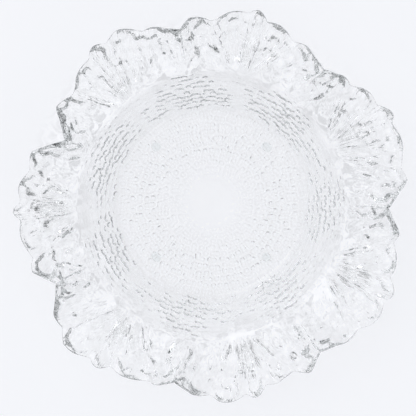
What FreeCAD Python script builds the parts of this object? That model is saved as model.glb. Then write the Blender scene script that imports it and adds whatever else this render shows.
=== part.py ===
# Chip and dip server: a ruffled dish of clear pressed glass on four clear bumper pads.
#
# Frame: +Z up, millimetres. The origin is the centre of the dish on the table, so the pads stand
# on z = 0. The dish has no left or right: +X points between the seventh and the first fan.
#
# The dish is one casting. From the middle outwards it has a flat floor, a steep wall up to the
# mouth of the well, and a rim of seven shell-shaped fans. Each fan spreads from a hinge point on
# the mouth, flares out low along its axis, and has ribs that grow towards the edge. Where two
# fans meet, the glass is pinched into a steep fold that stands higher and is pulled inwards.

import FreeCAD, Part
import math
import os
import Sketcher

Vector = FreeCAD.Vector

# The driving dimensions: millimetres, and degrees where the name says so.
SIZES = {
    "hub_radius": 56.0,
    "floor_radius": 83.0,
    "mouth_radius": 111.0,
    "floor_thickness": 7.0,
    "rim_thickness": 5.0,
    "fan_mouth_depth": 37.0,
    "fold_mouth_depth": 43.0,
    "fan_edge_rise": 11.0,
    "fold_edge_rise": 22.0,
    "fan_fullness": 0.65,
    "fan_edge_bend": 1.7,
    "fold_edge_bend": 1.0,
    "fold_width_degrees": 6.5,
    "rib_pitch_degrees": 31.0,
    "rib_depth": 2.4,
    "edge_scallop": 2.2,
    "pad_diameter": 8.0,
    "pad_thickness": 2.0,
    "pad_corner": 0.6,
    "pad_inset": 16.0,
    "pad_first_degrees": 45.0,
}

# The rim was ruffled by hand, so no two fans are alike. In order round the rim: the direction of a
# fan in degrees and its width from the mouth to its tip, then the same of the fold that follows it.
FANS_AND_FOLDS = [
    (26.0, 60.0, 51.0, 34.0),
    (78.0, 56.5, 100.0, 36.0),
    (129.0, 54.0, 155.0, 19.0),
    (181.0, 54.0, 206.0, 30.0),
    (233.0, 56.5, 258.0, 36.0),
    (282.0, 56.0, 307.0, 37.0),
    (333.0, 60.0, 360.0, 33.0),
]
FAN_ALIASES = ["fan_{}_degrees", "fan_{}_width", "fold_{}_degrees", "fold_{}_width"]

PAD_COUNT = 4

# How finely the dish's surface is controlled: stations round the rim, and from floor to edge.
STATIONS_ROUND = 210
FLOOR_STATIONS = 5
WALL_STATIONS = 6
RIM_STATIONS = 7

# A small step, in millimetres or degrees, over which slopes are taken.
PROBE = 0.4


def all_sizes():
    """The sizes by alias, with each fan's and fold's own four after the common ones."""
    sizes = dict(SIZES)
    for number, values in enumerate(FANS_AND_FOLDS, start=1):
        for alias, value in zip(FAN_ALIASES, values):
            sizes[alias.format(number)] = value
    return sizes


def make_sheet(doc):
    sheet = doc.addObject("Spreadsheet::Sheet", "Sizes")
    for row, (alias, value) in enumerate(all_sizes().items(), start=1):
        sheet.set(f"A{row}", alias)
        sheet.set(f"B{row}", str(value))
        sheet.setAlias(f"B{row}", alias)
    doc.recompute()
    return sheet


def read_sizes(sheet):
    return {alias: float(sheet.get(alias)) for alias in all_sizes()}


class Dish:
    """The middle surface of the glass: where it lies at any direction and distance from the centre."""

    def __init__(self, size):
        self.size = size
        self.fans = []
        for number in range(1, len(FANS_AND_FOLDS) + 1):
            self.fans.append([size[alias.format(number)] for alias in FAN_ALIASES])
        self.floor_height = size["pad_thickness"] + size["floor_thickness"] / 2

    def sector(self, degrees):
        """The offset from the axis of the fan here, its spread, its width and the nearest fold's width."""
        turned = degrees % 360
        before = self.fans[-1][2] - 360
        before_width = self.fans[-1][3]
        for fan, width, after, after_width in self.fans:
            if turned <= after:
                break
            before = after
            before_width = after_width
        if turned > fan:
            return turned - fan, after - fan, width, after_width
        return turned - fan, fan - before, width, before_width

    def fold_share(self, degrees):
        """One on a fold, falling to nothing over the fan beside it."""
        offset, half_spread = self.sector(degrees)[:2]
        gap = half_spread - abs(offset)
        return math.exp(-(gap / self.size["fold_width_degrees"]) ** 2)

    def rib_wave(self, degrees, radius):
        """The ribs of a fan: a wave in the angle about its hinge point, which lies on the mouth."""
        offset = self.sector(degrees)[0]
        along = radius * math.cos(math.radians(offset)) - self.size["mouth_radius"]
        across = radius * math.sin(math.radians(offset))
        spread = math.degrees(math.atan2(across, max(along, 1.0)))
        wave = math.cos(math.tau * spread / self.size["rib_pitch_degrees"])
        return wave * (1 - self.fold_share(degrees))

    def edge_radius(self, degrees):
        """The outline: full round each fan, pulled in at the folds, and scalloped by the ribs."""
        offset, half_spread, fan_width, fold_width = self.sector(degrees)
        share = 1 - abs(offset) / half_spread
        swell = math.sin(share * math.pi / 2) ** self.size["fan_fullness"]
        smooth = self.size["mouth_radius"] + blend(fan_width, fold_width, 1 - swell)
        return smooth + self.size["edge_scallop"] * (self.rib_wave(degrees, smooth) - 1)

    def height(self, degrees, radius):
        """Flat over the floor, straight up the wall, then flaring over the rim."""
        size = self.size
        if radius <= size["floor_radius"]:
            return self.floor_height
        share = self.fold_share(degrees)
        depth = blend(size["fan_mouth_depth"], size["fold_mouth_depth"], share)
        if radius <= size["mouth_radius"]:
            climb = (radius - size["floor_radius"]) / (size["mouth_radius"] - size["floor_radius"])
            return self.floor_height + depth * climb
        rise = blend(size["fan_edge_rise"], size["fold_edge_rise"], share)
        bend = blend(size["fan_edge_bend"], size["fold_edge_bend"], share)
        run = (radius - size["mouth_radius"]) / (self.edge_radius(degrees) - size["mouth_radius"])
        rib = size["rib_depth"] * self.rib_wave(degrees, radius) * run
        return self.floor_height + depth + rise * run ** bend + rib

    def point(self, degrees, radius):
        turn = math.radians(degrees)
        return Vector(radius * math.cos(turn), radius * math.sin(turn), self.height(degrees, radius))

    def directions(self, degrees, radius):
        """The upward normal, and the outward direction along the glass."""
        outer = self.point(degrees, radius + PROBE)
        if radius >= self.size["mouth_radius"]:
            outer = self.point(degrees, radius)
        outward = outer - self.point(degrees, radius - PROBE)
        outward.normalize()
        around = self.point(degrees + PROBE, radius) - self.point(degrees - PROBE, radius)
        normal = outward.cross(around)
        normal.normalize()
        return normal, outward

    def stations(self, degrees):
        """Distances from the centre at which the surface is controlled, from the hub to the edge."""
        size = self.size
        edge = self.edge_radius(degrees) - size["rim_thickness"] / 2
        radii = spaced(size["hub_radius"], size["floor_radius"], FLOOR_STATIONS)
        radii += spaced(size["floor_radius"], size["mouth_radius"], WALL_STATIONS)
        radii += spaced(size["mouth_radius"], edge, RIM_STATIONS)
        return radii + [edge]

    def thickness(self, radius):
        """Even over the floor, then thinning steadily up the wall to the rim."""
        size = self.size
        if radius <= size["floor_radius"]:
            return size["floor_thickness"]
        share = min(1.0, (radius - size["floor_radius"]) / (size["mouth_radius"] - size["floor_radius"]))
        return blend(size["floor_thickness"], size["rim_thickness"], share)

    def section(self, degrees):
        """Control points over the food side, round the edge, and back along the underside."""
        upper = []
        lower = []
        for radius in self.stations(degrees):
            here = self.point(degrees, radius)
            normal, outward = self.directions(degrees, radius)
            half = self.thickness(radius) / 2
            upper.append(here + normal * half)
            lower.append(here - normal * half)
        round_end = outward * (self.size["rim_thickness"] / 2)
        upper.append(upper[-1] + round_end)
        lower.append(lower[-1] + round_end)
        return upper + lower[::-1]


def blend(fan_value, fold_value, share):
    return fan_value + (fold_value - fan_value) * share


def spaced(start, end, count):
    """Even steps from start, stopping one step short of end."""
    return [start + (end - start) * index / count for index in range(count)]


def make_dish(doc, sheet):
    """The casting: one smooth skin, closed by a flat disc above and one below."""
    dish = Dish(read_sizes(sheet))
    poles = [dish.section(360.0 * index / STATIONS_ROUND) for index in range(STATIONS_ROUND)]
    degree = 3
    spans = len(poles[0]) - degree
    round_knots = list(range(STATIONS_ROUND + 1))
    across_knots = list(range(spans + 1))
    across_counts = [degree + 1] + [1] * (spans - 1) + [degree + 1]
    surface = Part.BSplineSurface()
    surface.buildFromPolesMultsKnots(
        poles, [1] * len(round_knots), across_counts, round_knots, across_knots, True, False, degree, degree
    )
    skin = surface.toShape()
    rings = [edge for edge in skin.Edges if edge.isClosed()]
    discs = [Part.Face(Part.Wire([ring])) for ring in rings]
    shell = Part.Shell([skin] + discs)
    shell.sewShape()
    solid = Part.Solid(shell)
    if solid.Volume < 0:
        solid.reverse()
    casting = doc.addObject("Part::Feature", "glass_dish")
    casting.Shape = solid
    return casting


def origin_plane(body, role):
    return next(part for part in body.Origin.OriginFeatures if part.Role == role)


def is_level(edge, height):
    box = edge.BoundBox
    return abs(box.ZMin - height) < 1e-4 and abs(box.ZMax - height) < 1e-4


def make_pad(doc, number):
    """One bumper pad: a disc with a rounded lower edge, stuck to the base by its flat top."""
    body = doc.addObject("PartDesign::Body", f"bumper_pad_{number}")
    sketch = body.newObject("Sketcher::SketchObject", f"pad_outline_{number}")
    sketch.AttachmentSupport = [(origin_plane(body, "XY_Plane"), "")]
    sketch.MapMode = "FlatFace"
    sketch.addGeometry(Part.Circle(Vector(0, 0, 0), Vector(0, 0, 1), 4), False)
    sketch.addConstraint(Sketcher.Constraint("Coincident", 0, 3, -1, 1))
    diameter = sketch.addConstraint(Sketcher.Constraint("Diameter", 0, 8.0))
    sketch.setExpression(f"Constraints[{diameter}]", "Sizes.pad_diameter")
    disc = body.newObject("PartDesign::Pad", f"pad_disc_{number}")
    disc.Profile = sketch
    disc.setExpression("Length", "Sizes.pad_thickness")
    doc.recompute()
    rim = [f"Edge{index + 1}" for index, edge in enumerate(disc.Shape.Edges) if is_level(edge, 0)]
    corner = body.newObject("PartDesign::Fillet", f"pad_corner_{number}")
    corner.Base = (disc, rim)
    corner.setExpression("Radius", "Sizes.pad_corner")
    ring = "(Sizes.floor_radius - Sizes.pad_inset)"
    turn = f"(Sizes.pad_first_degrees + {360 * (number - 1) / PAD_COUNT}) * 1 deg"
    body.setExpression(".Placement.Base.x", f"{ring} * cos({turn})")
    body.setExpression(".Placement.Base.y", f"{ring} * sin({turn})")
    return body


def check(doc, parts):
    for item in doc.Objects:
        if "Invalid" in item.State or "Error" in item.State:
            raise RuntimeError(f"{item.Label} did not build: {item.State}")
    for part in parts:
        if part.Shape.isNull() or not part.Shape.isValid() or len(part.Shape.Solids) != 1:
            raise RuntimeError(f"{part.Label} is not one sound solid")


def write(parts):
    os.makedirs("parts", exist_ok=True)
    for part in parts:
        part.Shape.exportStep(f"parts/{part.Label}.step")
        box = part.Shape.BoundBox
        print(f"{part.Label}: {box.XLength:.1f} x {box.YLength:.1f} x {box.ZLength:.1f} mm,", end=" ")
        print(f"z {box.ZMin:.1f} to {box.ZMax:.1f}, {part.Shape.Volume / 1000:.1f} cm3")


doc = FreeCAD.newDocument("chip_and_dip_server")
sheet = make_sheet(doc)
dish = make_dish(doc, sheet)
pads = [make_pad(doc, number) for number in range(1, PAD_COUNT + 1)]
doc.recompute()
parts = [dish] + pads
for part in parts:
    part.Label = part.Name
check(doc, parts)
write(parts)
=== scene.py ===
import math

import bpy
import numpy as np
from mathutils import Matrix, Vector


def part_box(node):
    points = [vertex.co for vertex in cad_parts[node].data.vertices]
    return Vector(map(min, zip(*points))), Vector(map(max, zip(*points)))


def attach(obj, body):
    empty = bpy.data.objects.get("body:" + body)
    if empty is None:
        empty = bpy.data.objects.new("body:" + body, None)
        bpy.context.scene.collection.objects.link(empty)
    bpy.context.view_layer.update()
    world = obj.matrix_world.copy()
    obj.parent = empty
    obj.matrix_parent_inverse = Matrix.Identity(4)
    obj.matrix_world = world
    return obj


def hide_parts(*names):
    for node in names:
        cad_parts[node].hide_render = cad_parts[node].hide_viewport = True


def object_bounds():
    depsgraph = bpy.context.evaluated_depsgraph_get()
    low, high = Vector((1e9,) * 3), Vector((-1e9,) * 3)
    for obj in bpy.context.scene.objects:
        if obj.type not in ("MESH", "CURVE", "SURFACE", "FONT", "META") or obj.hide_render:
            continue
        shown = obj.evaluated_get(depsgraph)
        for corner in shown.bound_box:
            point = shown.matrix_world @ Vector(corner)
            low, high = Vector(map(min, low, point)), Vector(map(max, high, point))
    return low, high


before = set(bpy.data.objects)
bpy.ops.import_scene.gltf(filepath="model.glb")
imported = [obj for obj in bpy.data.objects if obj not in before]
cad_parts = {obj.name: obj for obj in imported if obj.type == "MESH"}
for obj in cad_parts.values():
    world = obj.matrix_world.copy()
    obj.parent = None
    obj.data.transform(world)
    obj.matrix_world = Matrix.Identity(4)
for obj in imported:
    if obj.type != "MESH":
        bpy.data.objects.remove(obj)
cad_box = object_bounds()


# The camera hangs over the dish and looks almost straight down into the well. It leans a few
# degrees towards +Y, so the well sits a little above the middle of the rim. A long lens keeps
# the high rim and the low floor at nearly the same scale.
MM = 0.001
CAMERA_DISTANCE = 1.3
CAMERA_LEAN = math.radians(4.5)
RIM_PLANE = 58 * MM
VIEW_WIDTH = 343 * MM
AIM_OFFSET = Vector((-1.2 * MM, -0.8 * MM, 0))

middle = (cad_box[0] + cad_box[1]) / 2
aim = Vector((middle.x, middle.y, RIM_PLANE)) + AIM_OFFSET
toward_camera = Vector((0, math.sin(CAMERA_LEAN), math.cos(CAMERA_LEAN)))
camera_data = bpy.data.cameras.new("camera")
camera_data.sensor_width = 36
camera_data.lens = camera_data.sensor_width * CAMERA_DISTANCE / VIEW_WIDTH
camera = bpy.data.objects.new("camera", camera_data)
camera.location = aim + CAMERA_DISTANCE * toward_camera
camera.rotation_euler = (-CAMERA_LEAN, 0, 0)
bpy.context.collection.objects.link(camera)
bpy.context.scene.camera = camera


# The room is a white cloth tent with soft lamps behind the cloth. It is brightest overhead, and it
# has a few darker patches low down, which the glass needs to show its shape.
# Each level: the height on the tent, as the sine of its elevation, and the brightness there.
TENT_LEVELS = ((0.0, 0.34), (0.40, 0.40), (0.75, 0.50), (0.92, 0.88), (1.0, 1.20))

# Each lamp or dark patch: azimuth and elevation in degrees, its half-width, and what it adds.
TENT_PATCHES = (
    (130, 50, 22, 1.2),
    (145, 12, 55, 0.35),
    (-50, 42, 15, 1.0),
    (40, 34, 12, 0.8),
    (215, 30, 12, 0.8),
    (85, 24, 9, -0.6),
    (170, 22, 9, -0.6),
    (260, 26, 12, -0.6),
    (0, 25, 10, -0.6),
    (310, 24, 9, -0.6),
)
PATCH_BLUR = 4.0
DARKEST_CLOTH = 0.01

world = bpy.data.worlds.new("tent")
bpy.context.scene.world = world
world.use_nodes = True
nodes = world.node_tree.nodes
links = world.node_tree.links
direction = nodes.new("ShaderNodeTexCoord")
height = nodes.new("ShaderNodeSeparateXYZ")
levels = nodes.new("ShaderNodeValToRGB")
links.new(direction.outputs["Generated"], height.inputs[0])
links.new(height.outputs["Z"], levels.inputs["Fac"])
while len(levels.color_ramp.elements) < len(TENT_LEVELS):
    levels.color_ramp.elements.new(0.5)
for stop, (place, brightness) in zip(levels.color_ramp.elements, TENT_LEVELS):
    stop.position = place
    stop.color = (brightness, brightness, brightness, 1)

light = levels.outputs["Color"]
for azimuth, elevation, half_width, added in TENT_PATCHES:
    turn, lift = math.radians(azimuth), math.radians(elevation)
    nearness = nodes.new("ShaderNodeVectorMath")
    nearness.operation = "DOT_PRODUCT"
    nearness.inputs[1].default_value = (
        math.cos(turn) * math.cos(lift),
        math.sin(turn) * math.cos(lift),
        math.sin(lift),
    )
    patch = nodes.new("ShaderNodeMapRange")
    patch.interpolation_type = "SMOOTHSTEP"
    patch.inputs["From Min"].default_value = math.cos(math.radians(half_width + PATCH_BLUR))
    patch.inputs["From Max"].default_value = math.cos(math.radians(half_width - PATCH_BLUR))
    patch.inputs["To Max"].default_value = added
    total = nodes.new("ShaderNodeMath")
    links.new(direction.outputs["Generated"], nearness.inputs[0])
    links.new(nearness.outputs["Value"], patch.inputs["Value"])
    links.new(light, total.inputs[0])
    links.new(patch.outputs["Result"], total.inputs[1])
    light = total.outputs["Value"]
at_least = nodes.new("ShaderNodeMath")
at_least.operation = "MAXIMUM"
at_least.inputs[1].default_value = DARKEST_CLOTH
links.new(light, at_least.inputs[0])
background = nodes["Background"]
background.inputs["Color"].default_value = (0.955, 0.967, 1.0, 1)
links.new(at_least.outputs["Value"], background.inputs["Strength"])

# Few bounces, so light that is caught inside the glass dies out and leaves it darker there.
scene = bpy.context.scene
scene.view_settings.view_transform = "Standard"
scene.cycles.max_bounces = 12
scene.cycles.transmission_bounces = 11
scene.cycles.diffuse_bounces = 4
scene.cycles.glossy_bounces = 8


# The table under the dish: one wide sheet of matt white acrylic, lit softly from below. Under
# the rim its emission is softly dappled with painted caustics: bright filaments and darker patches
# painted in, standing in for the light that the ruffled glass gathers onto the table.
TABLE_HALF_WIDTH = 3.0
TABLE_DROP = 0.1 * MM
TABLE_GLOW = 0.78
PAINTED_CAUSTIC_RADII = (0.098, 0.122, 0.130, 0.166)
PAINTED_CAUSTIC_SIZE = 0.012
PAINTED_CAUSTIC_SHADE, PAINTED_CAUSTIC_LIGHT = 0.80, 1.10
PAINTED_THREAD_WIDTH = 0.16

bpy.ops.mesh.primitive_plane_add(size=2 * TABLE_HALF_WIDTH, location=(0, 0, -TABLE_DROP))
table = bpy.context.object
table.name = "table"
board = bpy.data.materials.new("white_board")
board.use_nodes = True
nodes = board.node_tree.nodes
links = board.node_tree.links
board_shader = nodes["Principled BSDF"]
board_shader.inputs["Base Color"].default_value = (0.20, 0.205, 0.21, 1)
board_shader.inputs["Emission Color"].default_value = (0.957, 0.965, 1.0, 1)
board_shader.inputs["Roughness"].default_value = 0.6
board_shader.inputs["Specular IOR Level"].default_value = 0.0

# Painted caustics and painted shade: a noise pattern of bright filaments and darker patches scales
# the table's emission, in a ring under the rim only.
place = nodes.new("ShaderNodeTexCoord")
painted_caustic_noise = nodes.new("ShaderNodeTexNoise")
painted_caustic_noise.inputs["Scale"].default_value = 1 / PAINTED_CAUSTIC_SIZE
painted_caustic_noise.inputs["Detail"].default_value = 2.0
painted_caustic_noise.inputs["Distortion"].default_value = 0.8
from_middle = nodes.new("ShaderNodeMath")
from_middle.operation = "SUBTRACT"
from_middle.inputs[1].default_value = 0.5
painted_thread_gap = nodes.new("ShaderNodeMath")
painted_thread_gap.operation = "ABSOLUTE"
painted_thread_light = nodes.new("ShaderNodeMapRange")
painted_thread_light.interpolation_type = "SMOOTHSTEP"
painted_thread_light.inputs["From Max"].default_value = PAINTED_THREAD_WIDTH
painted_thread_light.inputs["To Min"].default_value = PAINTED_CAUSTIC_LIGHT
painted_thread_light.inputs["To Max"].default_value = PAINTED_CAUSTIC_SHADE
reach = nodes.new("ShaderNodeVectorMath")
reach.operation = "LENGTH"
painted_caustic_inner_edge = nodes.new("ShaderNodeMapRange")
painted_caustic_inner_edge.interpolation_type = "SMOOTHSTEP"
painted_caustic_inner_edge.inputs["From Min"].default_value = PAINTED_CAUSTIC_RADII[0]
painted_caustic_inner_edge.inputs["From Max"].default_value = PAINTED_CAUSTIC_RADII[1]
painted_caustic_outer_edge = nodes.new("ShaderNodeMapRange")
painted_caustic_outer_edge.interpolation_type = "SMOOTHSTEP"
painted_caustic_outer_edge.inputs["From Min"].default_value = PAINTED_CAUSTIC_RADII[3]
painted_caustic_outer_edge.inputs["From Max"].default_value = PAINTED_CAUSTIC_RADII[2]
painted_caustic_mask = nodes.new("ShaderNodeMath")
painted_caustic_mask.operation = "MULTIPLY"
painted_caustic_mix = nodes.new("ShaderNodeMix")
painted_caustic_mix.inputs["A"].default_value = 1.0
strength = nodes.new("ShaderNodeMath")
strength.operation = "MULTIPLY"
strength.inputs[1].default_value = TABLE_GLOW
links.new(place.outputs["Object"], painted_caustic_noise.inputs["Vector"])
links.new(painted_caustic_noise.outputs["Fac"], from_middle.inputs[0])
links.new(from_middle.outputs["Value"], painted_thread_gap.inputs[0])
links.new(painted_thread_gap.outputs["Value"], painted_thread_light.inputs["Value"])
links.new(place.outputs["Object"], reach.inputs[0])
links.new(reach.outputs["Value"], painted_caustic_inner_edge.inputs["Value"])
links.new(reach.outputs["Value"], painted_caustic_outer_edge.inputs["Value"])
links.new(painted_caustic_inner_edge.outputs["Result"], painted_caustic_mask.inputs[0])
links.new(painted_caustic_outer_edge.outputs["Result"], painted_caustic_mask.inputs[1])
links.new(painted_caustic_mask.outputs["Value"], painted_caustic_mix.inputs["Factor"])
links.new(painted_thread_light.outputs["Result"], painted_caustic_mix.inputs["B"])
links.new(painted_caustic_mix.outputs["Result"], strength.inputs[0])
links.new(strength.outputs["Value"], board_shader.inputs["Emission Strength"])
table.data.materials.append(board)


# Black cards stand on the table all round the dish, out of the picture, tallest on one side. Clear
# glass on white only shows its edges where it bends something dark into view.
CARD_RING = 0.42
CARD_HEIGHTS = (0.06, 0.30)
TALLEST_CARD = math.radians(-35)
CARD_FOOT = 0.001
CARD_COUNT = 12
CARD_START, CARD_SHARE = 0.2, 0.7

card_corners = []
card_faces = []
for number in range(CARD_COUNT):
    nearness = max(0, math.cos(math.tau * (number + 0.5) / CARD_COUNT - TALLEST_CARD))
    card_height = CARD_HEIGHTS[0] + (CARD_HEIGHTS[1] - CARD_HEIGHTS[0]) * nearness
    for side in (CARD_START, CARD_START + CARD_SHARE):
        turn = math.tau * (number + side) / CARD_COUNT
        x, y = CARD_RING * math.cos(turn), CARD_RING * math.sin(turn)
        for z in (CARD_FOOT, card_height):
            card_corners.append((x, y, z))
    first = 4 * number
    card_faces.append((first, first + 2, first + 3, first + 1))
card_mesh = bpy.data.meshes.new("black_cards")
card_mesh.from_pydata(card_corners, [], card_faces)
cards = bpy.data.objects.new("black_cards", card_mesh)
bpy.context.collection.objects.link(cards)
cards.visible_camera = False
cards.visible_diffuse = False
cards.visible_shadow = False
black_card = bpy.data.materials.new("black_card")
black_card.use_nodes = True
card_shader = black_card.node_tree.nodes["Principled BSDF"]
card_shader.inputs["Base Color"].default_value = (0.012, 0.012, 0.013, 1)
card_shader.inputs["Roughness"].default_value = 0.9
card_mesh.materials.append(black_card)


# The dish is one casting of clear, colourless glass, pressed in a mould and ruffled by hand while
# it was soft. The food side is smooth. The mould left round pebbles on the underside of the well
# and flutes on the underside of the rim, and the edge was fire-polished round.
HUB_RADIUS = 10.0
FLOOR_RADIUS = 83.0
MOUTH_RADIUS = 111.0
HINGE_RADIUS = 98.0
FLOOR_THICKNESS = 7.0
RIM_THICKNESS = 5.0
pad_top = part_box("bumper_pad_1")[1].z / MM
FLOOR_MIDDLE = pad_top + FLOOR_THICKNESS / 2

# Depth of the well and rise of the rim, along a fan's axis and along a fold.
FAN_MOUTH_DEPTH, FOLD_MOUTH_DEPTH = 37.0, 43.0
FAN_EDGE_RISE, FOLD_EDGE_RISE = 11.0, 22.0
FAN_EDGE_BEND, FOLD_EDGE_BEND = 1.7, 1.0
FOLD_WIDTH = 6.0

# Each fan: the direction of its axis, the reach of its five rib tips in order round the rim, the
# angles about its hinge of the four creases between those ribs, then the direction and reach of
# the fold that follows it.
FANS = (
    (26.4, (163.5, 165.0, 169.0, 160.0, 153.0), (-35, -4, 13, 37), 51.0, 145.0),
    (78.0, (154.0, 158.0, 167.5, 157.0, 156.5), (-36, -12, 2, 31), 100.0, 147.0),
    (128.6, (158.0, 165.0, 163.5, 151.0, 152.0), (-41, -14, 3, 34), 155.0, 130.0),
    (181.4, (155.0, 158.5, 164.5, 159.0, 158.0), (-32, -7, 7, 36), 206.0, 141.0),
    (233.0, (159.0, 169.0, 166.0, 159.5, 158.0), (-33, -4, 12, 43), 258.0, 147.0),
    (282.4, (157.0, 164.5, 164.5, 156.0, 161.0), (-31, -5, 12, 35), 307.0, 148.0),
    (333.0, (159.0, 166.0, 169.0, 160.0, 158.0), (-31, -4, 13, 38), 360.0, 144.0),
)
RIB_OFFSETS = (-18.5, -10.2, 0.0, 10.2, 18.5)
RIB_DEPTH = 4.0
RIB_FADE = 5.0
CREASE_ROUNDING = 0.01
FLUTE_DEPTH = 4.0
SCALLOP_DEPTH = 4.5

fan_directions = np.array([fan[0] for fan in FANS])
fan_creases = np.array([fan[2] for fan in FANS], dtype=float)
fold_directions = np.array([fan[3] for fan in FANS])
outline_directions = []
outline_reaches = []
for fan_direction, rib_reaches, _, fold_direction, fold_reach in FANS:
    outline_directions += [fan_direction + offset for offset in RIB_OFFSETS] + [fold_direction]
    outline_reaches += [*rib_reaches, fold_reach]


def ramp(value, start, end):
    """A smooth rise from 0 at the start to 1 at the end."""
    share = np.clip((value - start) / (end - start), 0, 1)
    return share * share * (3 - 2 * share)


def fan_number(degrees):
    """Which fan a direction falls in."""
    return np.minimum(np.searchsorted(fold_directions, np.mod(degrees, 360)), len(FANS) - 1)


def fold_gap(degrees):
    """Degrees to the nearest fold."""
    return np.abs((np.mod(degrees, 360)[..., None] - fold_directions + 180) % 360 - 180).min(axis=-1)


def fold_share(degrees, width=FOLD_WIDTH):
    """One on a fold, falling to nothing over the fans beside it."""
    return np.exp(-((fold_gap(degrees) / width) ** 2))


def about_hinge(offset, radius):
    """The angle about a fan's hinge, and the distance from it, at this offset from its axis."""
    turn = np.radians(offset)
    along = np.maximum(radius * np.cos(turn) - HINGE_RADIUS, 1.0)
    aside = radius * np.sin(turn)
    return np.degrees(np.arctan2(aside, along)), np.hypot(along, aside)


def rib_place(degrees, radius):
    """Counts creases from the last fold: a whole number lies in a crease, a half on top of a rib.

    Gives that count, the distance from the fan's hinge, and the distance to the nearest crease.
    """
    number = fan_number(degrees)
    offset = np.mod(degrees, 360) - fan_directions[number]
    angle, away = about_hinge(offset, radius)
    gap_before = fan_directions[number] - np.where(number == 0, 0, fold_directions[number - 1])
    gap_after = fold_directions[number] - fan_directions[number]
    stops = [-about_hinge(gap_before, radius)[0]]
    stops += [fan_creases[number, index] for index in range(4)]
    stops += [about_hinge(gap_after, radius)[0]]
    place = 0
    for start, end in zip(stops, stops[1:]):
        place = place + np.clip((angle - start) / (end - start), 0, 1)
    crease_gap = np.min([np.abs(angle - stop) for stop in stops[1:5]], axis=0)
    return place, away, away * np.sin(np.radians(np.minimum(crease_gap, 90)))


def ribs(degrees, radius):
    """Rounded ribs with sharp creases between them, from -0.5 in a crease to 0.5 on a rib."""
    place = rib_place(degrees, radius)[0]
    wave = np.abs(np.sin(np.pi * place))
    return (np.sqrt(wave**2 + CREASE_ROUNDING) - 0.5) * (1 - fold_share(degrees, RIB_FADE))


def edge_reach(degrees):
    """The scalloped outline: the reach of each rib and fold, notched at the creases."""
    smooth = np.interp(np.mod(degrees, 360), outline_directions, outline_reaches, period=360)
    notch = 0.5 - ribs(degrees, smooth)
    return smooth - SCALLOP_DEPTH * notch * (1 - fold_share(degrees, RIB_FADE))


def rim_run(degrees, radius):
    """How far out on the rim a point lies: 0 at the mouth, 1 at the edge."""
    return np.clip((radius - MOUTH_RADIUS) / (edge_reach(degrees) - MOUTH_RADIUS), 0, 1.1)


def random_waves(shortest, longest, count, seed):
    """A smooth field of hand-worked unevenness: many faint plane waves in random directions."""
    draw = np.random.default_rng(seed)
    length = shortest * (longest / shortest) ** draw.random(count)
    turn = draw.random(count) * math.tau
    phase = draw.random(count) * math.tau

    def field(across, along):
        total = 0
        for index in range(count):
            pull = math.cos(turn[index]) * across + math.sin(turn[index]) * along
            total = total + np.sin(math.tau * pull / length[index] + phase[index])
        return total / math.sqrt(count)

    return field


# The wall starts and ends in soft bends, and the mouth is a little wider at the folds.
CORNER_SOFTNESS, SHOULDER_SOFTNESS = 2.4, 3.6
MOUTH_WAVE = 3.0


def soft_step(value, softness):
    """Nothing below zero, the value itself above it, and a soft bend between."""
    return softness * np.logaddexp(0, value / softness)


RIM_LUMP = 1.0
rim_lumps = random_waves(14, 28, 16, seed=5)


def middle_height(degrees, radius):
    """Height of the middle of the glass: flat floor, straight wall, then the flaring rim."""
    share = fold_share(degrees)
    depth = FAN_MOUTH_DEPTH + (FOLD_MOUTH_DEPTH - FAN_MOUTH_DEPTH) * share
    rise = FAN_EDGE_RISE + (FOLD_EDGE_RISE - FAN_EDGE_RISE) * share
    bend = FAN_EDGE_BEND + (FOLD_EDGE_BEND - FAN_EDGE_BEND) * share
    mouth = MOUTH_RADIUS + MOUTH_WAVE * (share - 0.5)
    from_corner = soft_step(radius - FLOOR_RADIUS, CORNER_SOFTNESS)
    from_shoulder = soft_step(radius - mouth, SHOULDER_SOFTNESS)
    climb = from_corner - from_shoulder
    run = rim_run(degrees, radius)
    wall = depth * climb / (mouth - FLOOR_RADIUS)
    rib = RIB_DEPTH * ribs(degrees, radius) * run**0.8
    turn = np.radians(degrees)
    x, y = radius * np.cos(turn), radius * np.sin(turn)
    lump = RIM_LUMP * rim_lumps(x, y) * np.minimum(1, 2 * run)
    return FLOOR_MIDDLE + wall + rise * run**bend + rib + lump


def middle_point(degrees, radius):
    turn = np.radians(degrees)
    x, y = radius * np.cos(turn), radius * np.sin(turn)
    return np.stack([x, y, middle_height(degrees, radius)], axis=-1)


def unit(vectors):
    return vectors / np.linalg.norm(vectors, axis=-1, keepdims=True)


def glass_directions(degrees, radius):
    """The upward normal of the middle surface, and the outward direction along it."""
    step = 0.5
    outward = unit(middle_point(degrees, radius + step * 0.2) - middle_point(degrees, radius - step))
    around = middle_point(degrees + step, radius) - middle_point(degrees - step, radius)
    return unit(np.cross(outward, around)), outward


# Where the soft folds were pinched, the glass ran together in thick round drops: the direction,
# the distance from the middle of the dish and the half-width of each.
DROPS = (
    (48.6, 136.7, 6.0),
    (101.9, 138.5, 6.0),
    (154.5, 127.0, 5.0),
    (149.6, 129.0, 6.5),
    (201.2, 142.2, 7.0),
    (209.3, 136.3, 5.0),
    (254.5, 139.7, 6.5),
    (308.9, 141.7, 6.5),
    (4.3, 142.0, 7.5),
    (355.2, 141.0, 7.0),
)
DROP_HEIGHT = 3.4
EDGE_THINNING, EDGE_TAPER = 2.6, 6.0
PINCH_THICKENING, PINCH_WIDTH = 2.0, 4.0


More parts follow.
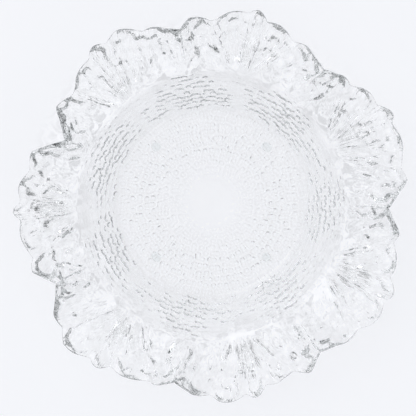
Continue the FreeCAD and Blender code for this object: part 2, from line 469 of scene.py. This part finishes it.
def thickness(degrees, radius):
    """Even over the floor, thinner up the wall and at the edge, with drops by the folds."""
    share = np.clip((radius - FLOOR_RADIUS) / (MOUTH_RADIUS - FLOOR_RADIUS), 0, 1)
    run = rim_run(degrees, radius)
    edge = EDGE_THINNING * np.exp(-(((edge_reach(degrees) - radius) / EDGE_TAPER) ** 2))
    pinch = PINCH_THICKENING * fold_share(degrees, PINCH_WIDTH) * run**3
    turn = np.radians(degrees)
    drop = 0
    for direction, reach, half_width in DROPS:
        lift = math.radians(direction)
        x = radius * np.cos(turn) - reach * math.cos(lift)
        y = radius * np.sin(turn) - reach * math.sin(lift)
        gap = np.hypot(x, y)
        drop = drop + DROP_HEIGHT * np.clip(1 - (gap / half_width) ** 2, 0, 1)
    return FLOOR_THICKNESS + (RIM_THICKNESS - FLOOR_THICKNESS) * share - edge + pinch + drop


# The pebbles lie in rings from the hub to the mouth, like scales, each ring's pebbles set off from
# the next by a random amount. The rings keep their pitch along the glass, so they close up in plan
# where the wall is steep.
PEBBLE_PITCH = 5.4
PEBBLE_DEPTH = 1.95
PEBBLE_JITTER = 0.5
FLOOR_UNEVENNESS, WALL_UNEVENNESS = 0.13, 1.0
PEBBLE_REACH = 0.54
WALL_STRETCH = 1.62

luck = np.random.default_rng(7)
pebbled_length = FLOOR_RADIUS - HUB_RADIUS + WALL_STRETCH * (MOUTH_RADIUS - FLOOR_RADIUS)
ring_count = int(pebbled_length / PEBBLE_PITCH) + 2
ring_phase = luck.random(ring_count + 2)
cell_luck = luck.random((ring_count + 2, 160, 3)) - 0.5


def along_glass(radius):
    """Distance from the hub measured along the glass."""
    return (radius - HUB_RADIUS) + (WALL_STRETCH - 1) * np.maximum(radius - FLOOR_RADIUS, 0)


def radius_at(distance):
    flat = np.minimum(distance, FLOOR_RADIUS - HUB_RADIUS)
    return HUB_RADIUS + flat + (distance - flat) / WALL_STRETCH


def pebbles(degrees, radius):
    """Height of the pebbles: 0 in the grooves between them, and about 1 on top of each."""
    distance = along_glass(radius)
    highest = np.zeros(np.broadcast(degrees, radius).shape)
    uneven = FLOOR_UNEVENNESS + (WALL_UNEVENNESS - FLOOR_UNEVENNESS) * ramp(radius, 76, FLOOR_RADIUS)
    home = np.floor(distance / PEBBLE_PITCH).astype(int)
    for ring in (home - 1, home, home + 1, home + 2):
        ring = np.clip(ring, 0, ring_count)
        ring_radius = radius_at((ring + 0.5) * PEBBLE_PITCH)
        cells = np.maximum(6, np.round(math.tau * ring_radius / PEBBLE_PITCH)).astype(int)
        place = np.mod(degrees, 360) / 360 * cells - ring_phase[ring]
        for step in (0, 1):
            cell = np.floor(place).astype(int) + step
            chance = cell_luck[ring, np.mod(cell, cells)]
            across = (place - cell - PEBBLE_JITTER * chance[..., 0]) / cells * math.tau * radius
            along = distance - (ring + 0.5 + PEBBLE_JITTER * chance[..., 1]) * PEBBLE_PITCH
            gap = np.hypot(across, along) / PEBBLE_PITCH
            dome = (1 + uneven * chance[..., 2]) * (1 - (gap / PEBBLE_REACH) ** 2)
            highest = np.maximum(highest, dome)
    return highest


inside_waves = random_waves(12, 40, 20, seed=3)
rim_waves = random_waves(7, 15, 30, seed=11)
flow_lines = random_waves(5, 9, 18, seed=23)
FOOD_SIDE_WAVE, FOOD_SIDE_RIM_WAVE = 0.05, 0.6
LUMP_DEPTH, LUMP_GROWTH = 0.65, 0.5
LINE_DEPTH = 0.3
CREASE_DEPTH = 2.8
CREASE_WIDTH = 1.3
CREASE_BEADS = 5.5


def upper_relief(degrees, radius):
    """The food side: smooth in the well, softly uneven on the rim."""
    turn = np.radians(degrees)
    x, y = radius * np.cos(turn), radius * np.sin(turn)
    run = rim_run(degrees, radius)
    rim = ramp(run, 0.02, 0.6) * (1 - ramp(run, 0.88, 1.0))
    return FOOD_SIDE_WAVE * inside_waves(x, y) + FOOD_SIDE_RIM_WAVE * rim * rim_waves(x, y)


def lower_relief(degrees, radius):
    """The mould side: pebbles in the well; flutes, creases and flow lines on the rim."""
    turn = np.radians(degrees)
    x, y = radius * np.cos(turn), radius * np.sin(turn)
    place, away, crease_gap = rib_place(degrees, radius)
    run = rim_run(degrees, radius)
    by_fold = fold_share(degrees, 14.0)
    faded = 1 - (0.65 - 0.2 * by_fold) * ramp(radius, 94, 108)
    well = ramp(radius, HUB_RADIUS, 40) * (1 - ramp(radius, MOUTH_RADIUS - 2, MOUTH_RADIUS + 8))
    shallower = 0.72 - 0.6 * by_fold + 0.22 * inside_waves(y, x)
    wall = 1 - shallower * ramp(radius, 78, FLOOR_RADIUS + 3)
    cut = PEBBLE_DEPTH * (pebbles(degrees, radius) - 1) * well * faded * wall
    rim = ramp(run, 0.0, 0.25) * (1 - ramp(run, 0.88, 1.0))
    lumps = (LUMP_DEPTH + LUMP_GROWTH * ramp(run, 0.35, 0.6)) * rim_waves(y, x)
    lines = flow_lines(away * place * 0.35, away / 3)
    crease = CREASE_DEPTH * np.exp(-((crease_gap / CREASE_WIDTH) ** 2))
    beads = 0.7 + 0.5 * np.sin(math.tau * away / CREASE_BEADS + place)
    crease = crease * beads * ramp(away, 17, 25) * (1 - ramp(away, 42, 53))
    flutes = FLUTE_DEPTH * ribs(degrees, radius) * ramp(away, 6, 30)
    return cut + rim * (LINE_DEPTH * lines + lumps + flutes) - crease


def upper_row(degrees, radius):
    normal = glass_directions(degrees, radius)[0]
    lift = thickness(degrees, radius) / 2 + upper_relief(degrees, radius)
    return middle_point(degrees, radius) + normal * lift[:, None]


def lower_row(degrees, radius):
    normal = glass_directions(degrees, radius)[0]
    lift = thickness(degrees, radius) / 2 + lower_relief(degrees, radius)
    return middle_point(degrees, radius) - normal * lift[:, None]


def edge_rows(degrees, radius, steps):
    """The fire-polished edge: half a turn from the food side to the mould side."""
    normal, outward = glass_directions(degrees, radius)
    up = thickness(degrees, radius) / 2 + upper_relief(degrees, radius)
    down = thickness(degrees, radius) / 2 + lower_relief(degrees, radius)
    reach = (RIM_THICKNESS - EDGE_THINNING) / 2
    rows = []
    for index in range(1, steps):
        turn = math.pi * index / steps
        lift = np.where(math.cos(turn) > 0, up, down) * math.cos(turn)
        side = normal * lift[:, None] + outward * reach * math.sin(turn)
        rows.append(middle_point(degrees, radius) + side)
    return rows


def turns(count):
    """Evenly spaced directions round the dish, in degrees."""
    return np.arange(count) * 360 / count


# Rings of vertices, from the middle of the food side out to the edge, round it, and back in under
# the dish. Rings have fewer vertices near the middle. The step under the well is a fifth of a
# pebble, which is fine enough to round each one.
FINE, MEDIUM, COARSE, FEW = 600, 300, 150, 75
EDGE_STEPS = 7

rows = []
for radius in np.arange(4, 20, 4.0):
    rows.append(upper_row(turns(FEW), np.full(FEW, radius)))
for radius in np.arange(20, 60, 3.2):
    rows.append(upper_row(turns(COARSE), np.full(COARSE, radius)))
for radius in np.arange(60, 102, 2.8):
    rows.append(upper_row(turns(MEDIUM), np.full(MEDIUM, radius)))
edge_line = edge_reach(turns(FINE)) - (RIM_THICKNESS - EDGE_THINNING) / 2
for share in np.linspace(0, 1, 30):
    rows.append(upper_row(turns(FINE), 103 + (edge_line - 103) * share))
rows += edge_rows(turns(FINE), edge_line, EDGE_STEPS)
for share in np.linspace(1, 0, 28):
    rows.append(lower_row(turns(FINE), MOUTH_RADIUS + (edge_line - MOUTH_RADIUS) * share))
cell_step = PEBBLE_PITCH / 5
wall_step = cell_step / WALL_STRETCH
for radius in np.arange(MOUTH_RADIUS - wall_step, FLOOR_RADIUS, -wall_step):
    rows.append(lower_row(turns(FINE), np.full(FINE, radius)))
for radius in np.arange(FLOOR_RADIUS, 46, -cell_step):
    rows.append(lower_row(turns(FINE), np.full(FINE, radius)))
for radius in np.arange(46, 24, -cell_step):
    rows.append(lower_row(turns(MEDIUM), np.full(MEDIUM, radius)))
for radius in np.arange(24, 10, -cell_step):
    rows.append(lower_row(turns(COARSE), np.full(COARSE, radius)))
for radius in np.arange(10, 2, -3.0):
    rows.append(lower_row(turns(FEW), np.full(FEW, radius)))


def stitch(first, first_count, second, second_count):
    """Faces between two rings of vertices, where one may have twice as many as the other."""
    faces = []
    if first_count == second_count:
        for index in range(first_count):
            after = (index + 1) % first_count
            faces.append((first + after, first + index, second + index, second + after))
        return faces
    few, few_start, many_start = min((first_count, first, second), (second_count, second, first))
    many = 2 * few
    for index in range(few):
        after = few_start + (index + 1) % few
        here = few_start + index
        a, b, c = (many_start + (2 * index + step) % many for step in range(3))
        parts = [(after, here, b, c), (b, here, a)]
        faces += parts if first_count < second_count else [part[::-1] for part in parts]
    return faces


starts = np.cumsum([0] + [len(row) for row in rows])
faces = []
for index in range(len(rows) - 1):
    faces += stitch(starts[index], len(rows[index]), starts[index + 1], len(rows[index + 1]))
points = np.concatenate(rows + [[rows[0].mean(axis=0)], [rows[-1].mean(axis=0)]])
top_middle, bottom_middle = len(points) - 2, len(points) - 1
for index in range(FEW):
    after = (index + 1) % FEW
    faces.append((top_middle, index, after))
    faces.append((bottom_middle, starts[-2] + after, starts[-2] + index))

dish_mesh = bpy.data.meshes.new("glass_dish_cast")
face_corners = [tuple(int(corner) for corner in face) for face in faces]
dish_mesh.from_pydata((points * MM).tolist(), [], face_corners)
dish_mesh.shade_smooth()

# The dish carries a map for its flow lines: across the ribs, counted in creases, and out from the
# mouth, in metres.
CREASES_IN_FAN = 5
CREASES_ROUND = 35
HALF_ROUND = 17

angle = np.degrees(np.arctan2(points[:, 1], points[:, 0])) % 360
distance = np.hypot(points[:, 0], points[:, 1])
across = CREASES_IN_FAN * fan_number(angle) + rib_place(angle, distance)[0]
outward = np.clip(distance - MOUTH_RADIUS, 0, None) * MM
corners = np.empty(len(dish_mesh.loops), dtype=np.int32)
dish_mesh.loops.foreach_get("vertex_index", corners)
face_starts = np.empty(len(dish_mesh.polygons), dtype=np.int32)
dish_mesh.polygons.foreach_get("loop_start", face_starts)
face_sizes = np.diff(np.append(face_starts, len(corners)))
lowest = np.repeat(np.minimum.reduceat(across[corners], face_starts), face_sizes)
highest = np.repeat(np.maximum.reduceat(across[corners], face_starts), face_sizes)
over_seam = (highest - lowest > HALF_ROUND) & (across[corners] < HALF_ROUND)
flow_map = dish_mesh.uv_layers.new(name="flow_map")
corner_across = across[corners] + CREASES_ROUND * over_seam
corner_places = np.stack([corner_across, outward[corners]], axis=-1)
flow_map.data.foreach_set("uv", corner_places.ravel())
dish = bpy.data.objects.new("dish_casting", dish_mesh)
bpy.context.collection.objects.link(dish)

glass = bpy.data.materials.new("clear_pressed_glass")
glass.use_nodes = True
nodes = glass.node_tree.nodes
links = glass.node_tree.links
shader = nodes["Principled BSDF"]
shader.inputs["Base Color"].default_value = (1, 1, 1, 1)
shader.inputs["Roughness"].default_value = 0.0
shader.inputs["IOR"].default_value = 1.5
shader.inputs["Transmission Weight"].default_value = 1.0
place = nodes.new("ShaderNodeTexCoord")
fire_polish = nodes.new("ShaderNodeTexNoise")
fire_polish.inputs["Scale"].default_value = 260.0
fire_polish.inputs["Detail"].default_value = 2.0
soft_skin = nodes.new("ShaderNodeBump")
soft_skin.inputs["Strength"].default_value = 0.06
soft_skin.inputs["Distance"].default_value = 0.0004
stretch = nodes.new("ShaderNodeVectorMath")
stretch.operation = "MULTIPLY"
stretch.inputs[1].default_value = (4.5, 70.0, 1.0)
streaks = nodes.new("ShaderNodeTexNoise")
streaks.inputs["Scale"].default_value = 1.0
streaks.inputs["Detail"].default_value = 2.5
parts = nodes.new("ShaderNodeSeparateXYZ")
on_rim = nodes.new("ShaderNodeMapRange")
on_rim.inputs["From Min"].default_value = 0.002
on_rim.inputs["From Max"].default_value = 0.016
streak_height = nodes.new("ShaderNodeMath")
streak_height.operation = "MULTIPLY"
flow_bump = nodes.new("ShaderNodeBump")
flow_bump.inputs["Strength"].default_value = 1.0
flow_bump.inputs["Distance"].default_value = 0.0024
links.new(place.outputs["Object"], fire_polish.inputs["Vector"])
links.new(fire_polish.outputs["Fac"], soft_skin.inputs["Height"])
links.new(place.outputs["UV"], stretch.inputs[0])
links.new(stretch.outputs["Vector"], streaks.inputs["Vector"])
links.new(place.outputs["UV"], parts.inputs["Vector"])
links.new(parts.outputs["Y"], on_rim.inputs["Value"])
links.new(streaks.outputs["Fac"], streak_height.inputs[0])
links.new(on_rim.outputs["Result"], streak_height.inputs[1])
links.new(streak_height.outputs["Value"], flow_bump.inputs["Height"])
links.new(soft_skin.outputs["Normal"], flow_bump.inputs["Normal"])
links.new(flow_bump.outputs["Normal"], shader.inputs["Normal"])
body_tint = nodes.new("ShaderNodeVolumeAbsorption")
body_tint.inputs["Color"].default_value = (0.80, 0.93, 0.92, 1)
body_tint.inputs["Density"].default_value = 2.5
links.new(body_tint.outputs["Volume"], nodes["Material Output"].inputs["Volume"])
dish_mesh.materials.append(glass)

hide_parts("glass_dish")
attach(dish, "root")


# The four bumper pads are clear, soft polyurethane discs, slightly cloudy, stuck by their own
# adhesive to the flat underside of the dish. They bend light very little, so they stay faint.
pad_material = bpy.data.materials.new("clear_soft_pad")
pad_material.use_nodes = True
nodes = pad_material.node_tree.nodes
links = pad_material.node_tree.links
shader = nodes["Principled BSDF"]
shader.inputs["Base Color"].default_value = (0.93, 0.95, 0.95, 1)
shader.inputs["IOR"].default_value = 1.08
shader.inputs["Transmission Weight"].default_value = 1.0
cloud = nodes.new("ShaderNodeTexNoise")
cloud.inputs["Scale"].default_value = 900.0
cloud_range = nodes.new("ShaderNodeMapRange")
cloud_range.inputs["To Min"].default_value = 0.02
cloud_range.inputs["To Max"].default_value = 0.06
links.new(cloud.outputs["Fac"], cloud_range.inputs["Value"])
links.new(cloud_range.outputs["Result"], shader.inputs["Roughness"])
for number in range(1, 5):
    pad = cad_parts[f"bumper_pad_{number}"]
    pad.data.materials.clear()
    pad.data.materials.append(pad_material)
